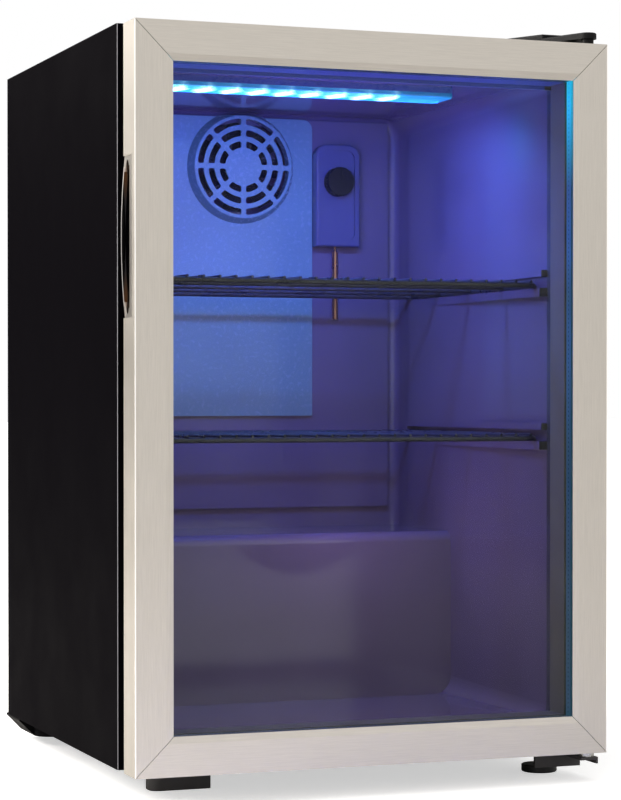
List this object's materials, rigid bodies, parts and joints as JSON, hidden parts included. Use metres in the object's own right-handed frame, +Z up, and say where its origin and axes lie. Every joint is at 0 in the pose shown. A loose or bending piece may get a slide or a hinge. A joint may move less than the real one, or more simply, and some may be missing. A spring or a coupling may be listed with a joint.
{
  "type": "mini fridge",
  "caption": "Compact free-standing beverage fridge with a framed glass door, pocket handles, wire shelves and a lit interior.",
  "frame": {"origin": "on the floor under the centre of the whole appliance", "axes": "+Z up, -Y out of the door, +X towards the hinge side"},
  "size_m": [0.4496, 0.5, 0.6836],
  "materials": {
    "brushed_steel": "satin, fine grain along each rail",
    "polished_steel": "polished",
    "black_steel": "black powder coat, low sheen",
    "grey_steel": "zinc coated sheet",
    "compressor_enamel": "gloss black enamel",
    "zinc_steel": "bright zinc",
    "coated_wire": "dark grey coated wire",
    "black_plastic": "fine moulded texture",
    "liner_plastic": "gloss black",
    "white_plastic": "gloss white",
    "clear_plastic": "clear, smooth",
    "light_board": "white board with lamps",
    "foam": "rigid foam",
    "glass": "clear, tempered",
    "aluminium": "mill finish",
    "seal_rubber": "soft matt",
    "rubber": "matt",
    "copper": "drawn copper tube"
  },
  "bodies": {
    "cabinet": {"cabinet_shell": "black_steel", "rear_panel": "grey_steel", "bottom_panel": "grey_steel", "base_pan": "black_steel", "foam_insulation": "foam", "inner_liner": "liner_plastic", "front_frame": "black_plastic", "led_bar_base": "white_plastic", "led_strip": "light_board", "led_bar_cover": "clear_plastic", "fan_cover": "liner_plastic", "evaporator": "aluminium", "fan_motor": "black_plastic", "thermostat_housing": "liner_plastic", "thermostat_switch": "white_plastic", "thermostat_sensor_tube": "copper", "compressor": "compressor_enamel", "compressor_grommets": "rubber", "compressor_relay_cover": "black_plastic", "condenser_tube": "black_steel", "condenser_wires": "black_steel", "condenser_brackets": "black_plastic", "filter_drier": "copper", "suction_line": "copper", "capillary_line": "copper", "discharge_line": "copper", "drip_tray": "black_plastic", "drain_tube": "white_plastic", "top_hinge_bracket": "black_steel", "top_hinge_cover": "black_plastic", "top_hinge_pin": "zinc_steel", "top_hinge_screws": "zinc_steel", "bottom_hinge_bracket": "black_steel", "bottom_hinge_pin": "zinc_steel", "bottom_hinge_washer": "zinc_steel", "bottom_hinge_screws": "zinc_steel", "front_left_foot": "black_plastic", "rear_feet": "rubber", "hinge_hole_plugs": "black_plastic", "rear_panel_screws": "zinc_steel", "cord_gland": "rubber"},
    "door": {"door_left_stile": "brushed_steel", "door_right_stile": "brushed_steel", "door_bottom_rail": "brushed_steel", "door_top_rail": "brushed_steel", "door_inner_frame": "black_plastic", "outer_pane": "glass", "pane_spacer": "aluminium", "inner_pane": "glass", "door_gasket": "seal_rubber", "left_handle_pocket": "polished_steel", "right_handle_pocket": "polished_steel", "top_door_bush": "black_plastic", "bottom_door_bush": "black_plastic", "door_hole_plugs": "black_plastic"},
    "upper_shelf": {"upper_shelf": "coated_wire"},
    "lower_shelf": {"lower_shelf": "coated_wire"},
    "fan": {"fan_blade": "white_plastic"},
    "thermostat_knob": {"thermostat_knob": "black_plastic"},
    "levelling_foot": {"levelling_foot": "black_plastic"}
  },
  "joints": [
    {"name": "door_hinge", "type": "hinge", "parent": "cabinet", "child": "door", "pos_m": [0.212, -0.23, 0.35], "axis": [0, 0, 1], "range_deg": [0, 120]},
    {"name": "upper_shelf_slide", "type": "slide", "parent": "cabinet", "child": "upper_shelf", "axis": [0, -1, 0], "range_m": [0, 0.022]},
    {"name": "lower_shelf_slide", "type": "slide", "parent": "cabinet", "child": "lower_shelf", "axis": [0, -1, 0], "range_m": [0, 0.022]},
    {"name": "fan_spin", "type": "hinge", "parent": "cabinet", "child": "fan", "pos_m": [0.0075, 0.1445, 0.5845], "axis": [0, 1, 0], "continuous": true},
    {"name": "thermostat_turn", "type": "hinge", "parent": "cabinet", "child": "thermostat_knob", "pos_m": [0.111, 0.132, 0.572], "axis": [0, -1, 0], "range_deg": [0, 270]},
    {"name": "levelling_foot_screw", "type": "slide", "parent": "cabinet", "child": "levelling_foot", "axis": [0, 0, -1], "range_m": [0, 0.01]}
  ]
}
